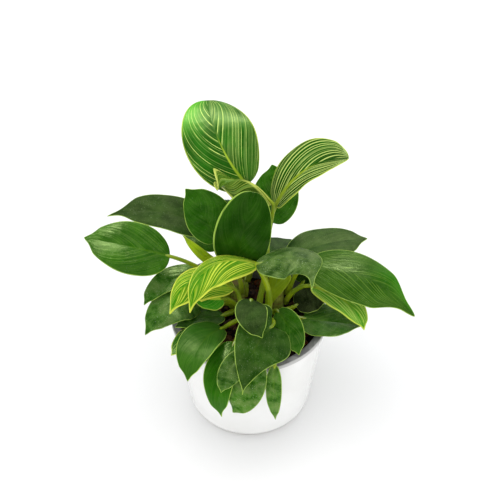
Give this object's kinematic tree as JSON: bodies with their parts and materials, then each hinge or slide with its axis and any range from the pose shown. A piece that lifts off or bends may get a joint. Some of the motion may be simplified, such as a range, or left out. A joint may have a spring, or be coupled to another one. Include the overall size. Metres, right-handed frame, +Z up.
{
  "type": "potted philodendron birkin",
  "caption": "Bushy aroid house plant with heart-shaped, pale-edged and pinstriped leaves on slender petioles, in a grey nursery pot inside a round white cover pot.",
  "frame": {"origin": "centre of the cover pot's flat base, on the surface it stands on", "axes": "+Z up, -Y towards the plant's show side, +X to the right as seen from the show side"},
  "size_m": [0.2406, 0.1886, 0.2264],
  "materials": {
    "leaf_old": "dark green leaf, satin gloss, thin pale margin",
    "leaf_middle": "mid green leaf, satin gloss, thin pale margin, faint stripes",
    "leaf_striped": "fresh green leaf with cream stripes and midrib, satin gloss",
    "leaf_young": "yellow-green young leaf with cream margin, satin",
    "sheath": "yellow-green papery scale, satin",
    "stem": "green-brown stem with leaf scars, satin",
    "soil": "coarse bark potting mix, matt",
    "nursery_pot": "dark grey moulded plastic, semi-matt",
    "cover_pot": "white glaze, glossy"
  },
  "bodies": {
    "root": {"leaf_01": "leaf_striped", "leaf_02": "leaf_striped", "leaf_03": "leaf_young", "leaf_04": "leaf_old", "leaf_05": "leaf_old", "leaf_06": "leaf_old", "leaf_07": "leaf_old", "leaf_08": "leaf_middle", "leaf_09": "leaf_striped", "leaf_10": "leaf_middle", "leaf_11": "leaf_striped", "leaf_12": "leaf_middle", "leaf_13": "leaf_old", "leaf_14": "leaf_old", "leaf_15": "leaf_striped", "leaf_16": "leaf_old", "leaf_17": "leaf_middle", "leaf_18": "leaf_middle", "leaf_19": "leaf_middle", "leaf_20": "leaf_middle", "leaf_21": "leaf_middle", "leaf_22": "leaf_middle", "leaf_23": "leaf_middle", "leaf_24": "leaf_middle", "leaf_25": "leaf_striped", "leaf_26": "leaf_old", "leaf_27": "leaf_old", "leaf_28": "leaf_striped", "leaf_29": "leaf_old", "leaf_30": "leaf_old", "leaf_31": "leaf_old", "leaf_32": "leaf_old", "leaf_33": "leaf_middle", "leaf_34": "leaf_old", "leaf_35": "leaf_old", "leaf_36": "leaf_old", "sheath_back": "sheath", "sheath_right": "sheath", "stem_right": "stem", "stem_back": "stem", "stem_front": "stem", "potting_soil": "soil", "nursery_pot": "nursery_pot", "cover_pot": "cover_pot"}
  },
  "joints": []
}
